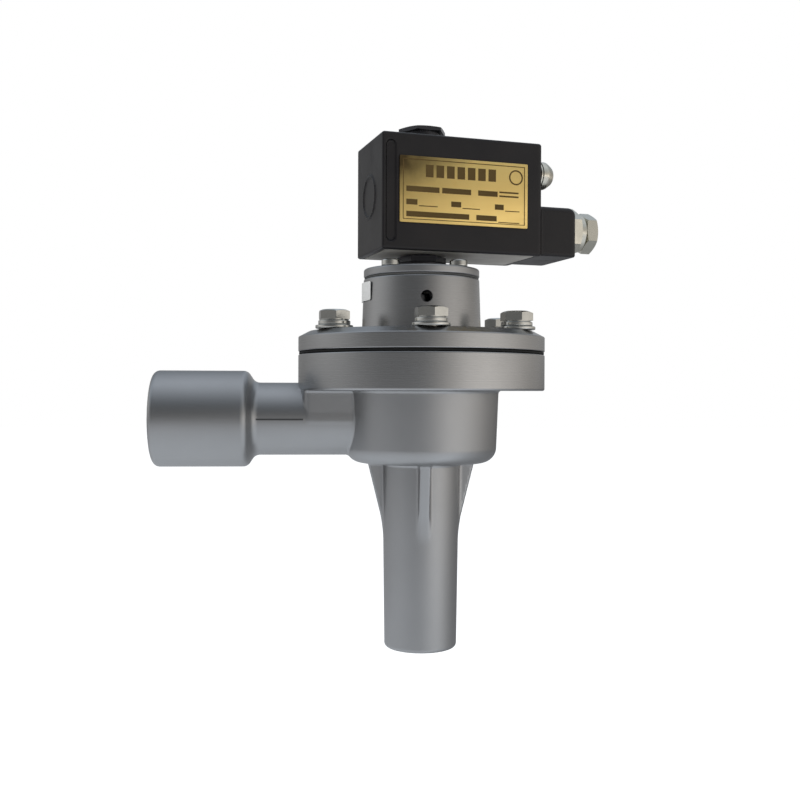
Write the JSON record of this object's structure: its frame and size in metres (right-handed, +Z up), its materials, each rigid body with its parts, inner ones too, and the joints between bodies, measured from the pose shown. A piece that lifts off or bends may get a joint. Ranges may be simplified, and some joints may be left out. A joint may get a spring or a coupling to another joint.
{
  "type": "dust collector pulse valve",
  "caption": "Right-angle diaphragm pulse valve: cast body with side inlet socket and downward outlet tube, bolted bonnet, and a turnable flameproof pilot coil.",
  "frame": {"origin": "centre of the outlet tube's end face, on the valve's axis", "axes": "+Z up the valve's axis towards the coil, inlet socket towards -X, vent hole towards -Y"},
  "size_m": [0.2017, 0.1096, 0.2306],
  "materials": {
    "cast_aluminium": "satin die casting, flange turned",
    "zinc_plated_steel": "bright zinc plating",
    "spring_steel": "drawn spring wire",
    "black_rubber": "matt moulded rubber",
    "black_enamel": "half-gloss black enamel",
    "black_oxide_steel": "glossy blackened steel",
    "stainless_steel": "turned",
    "nickel_plated_brass": "nickel plating",
    "etched_brass": "etched and lacquered",
    "white_label": "paper label",
    "potting_resin": "cast resin",
    "nylon": "moulded",
    "copper_wire": "enamelled wire",
    "soft_iron": "pressed strip"
  },
  "bodies": {
    "valve": {"valve_body": "cast_aluminium", "bonnet": "cast_aluminium", "pilot_cover": "cast_aluminium", "main_diaphragm": "black_rubber", "pilot_diaphragm": "black_rubber", "tube_seal": "black_rubber", "cap_washer": "black_rubber", "main_spring": "spring_steel", "pilot_spring": "spring_steel", "plunger_spring": "spring_steel", "flange_bolt_1": "zinc_plated_steel", "flange_bolt_2": "zinc_plated_steel", "flange_bolt_3": "zinc_plated_steel", "flange_bolt_4": "zinc_plated_steel", "flange_bolt_5": "zinc_plated_steel", "flange_bolt_6": "zinc_plated_steel", "flat_washer_1": "zinc_plated_steel", "flat_washer_2": "zinc_plated_steel", "flat_washer_3": "zinc_plated_steel", "flat_washer_4": "zinc_plated_steel", "flat_washer_5": "zinc_plated_steel", "flat_washer_6": "zinc_plated_steel", "spring_washer_1": "zinc_plated_steel", "spring_washer_2": "zinc_plated_steel", "spring_washer_3": "zinc_plated_steel", "spring_washer_4": "zinc_plated_steel", "spring_washer_5": "zinc_plated_steel", "spring_washer_6": "zinc_plated_steel", "cover_screw_1": "zinc_plated_steel", "cover_screw_2": "zinc_plated_steel", "cover_screw_3": "zinc_plated_steel", "cover_screw_4": "zinc_plated_steel", "armature_tube": "black_oxide_steel", "cap_nut": "black_oxide_steel", "turret_sticker": "white_label"},
    "diaphragm_hub": {"seat_disc": "nylon", "backing_plate": "stainless_steel", "hub_screw": "zinc_plated_steel", "hub_nut": "zinc_plated_steel"},
    "pilot_hub": {"pilot_disc": "nylon", "pilot_plate": "stainless_steel", "pilot_rivet": "zinc_plated_steel"},
    "plunger_group": {"plunger": "stainless_steel", "plunger_seal": "black_rubber"},
    "coil": {"coil_housing": "black_enamel", "base_plate": "potting_resin", "yoke": "soft_iron", "bobbin": "nylon", "winding": "copper_wire", "terminal_block": "nylon", "nameplate": "etched_brass", "earth_screw": "nickel_plated_brass", "earth_washer": "nickel_plated_brass", "gland_body": "nickel_plated_brass", "gland_seal": "black_rubber", "gland_ring": "nickel_plated_brass", "gland_nut": "nickel_plated_brass"}
  },
  "joints": [
    {"name": "coil_swivel", "type": "hinge", "parent": "valve", "child": "coil", "pos_m": [0, 0, 0.1744], "axis": [0, 0, 1], "continuous": true},
    {"name": "diaphragm_lift", "type": "slide", "parent": "valve", "child": "diaphragm_hub", "axis": [0, 0, 1], "range_m": [0, 0.006], "stiffness_N_per_m": 400, "springref_m": -0.008, "deforming": ["main_diaphragm", "main_spring"]},
    {"name": "pilot_lift", "type": "slide", "parent": "valve", "child": "pilot_hub", "axis": [0, 0, 1], "range_m": [0, 0.0016], "stiffness_N_per_m": 200, "springref_m": -0.003, "deforming": ["pilot_diaphragm", "pilot_spring"]},
    {"name": "plunger_lift", "type": "slide", "parent": "valve", "child": "plunger_group", "axis": [0, 0, 1], "range_m": [0, 0.002], "stiffness_N_per_m": 200, "springref_m": -0.003, "deforming": ["plunger_spring"]}
  ]
}
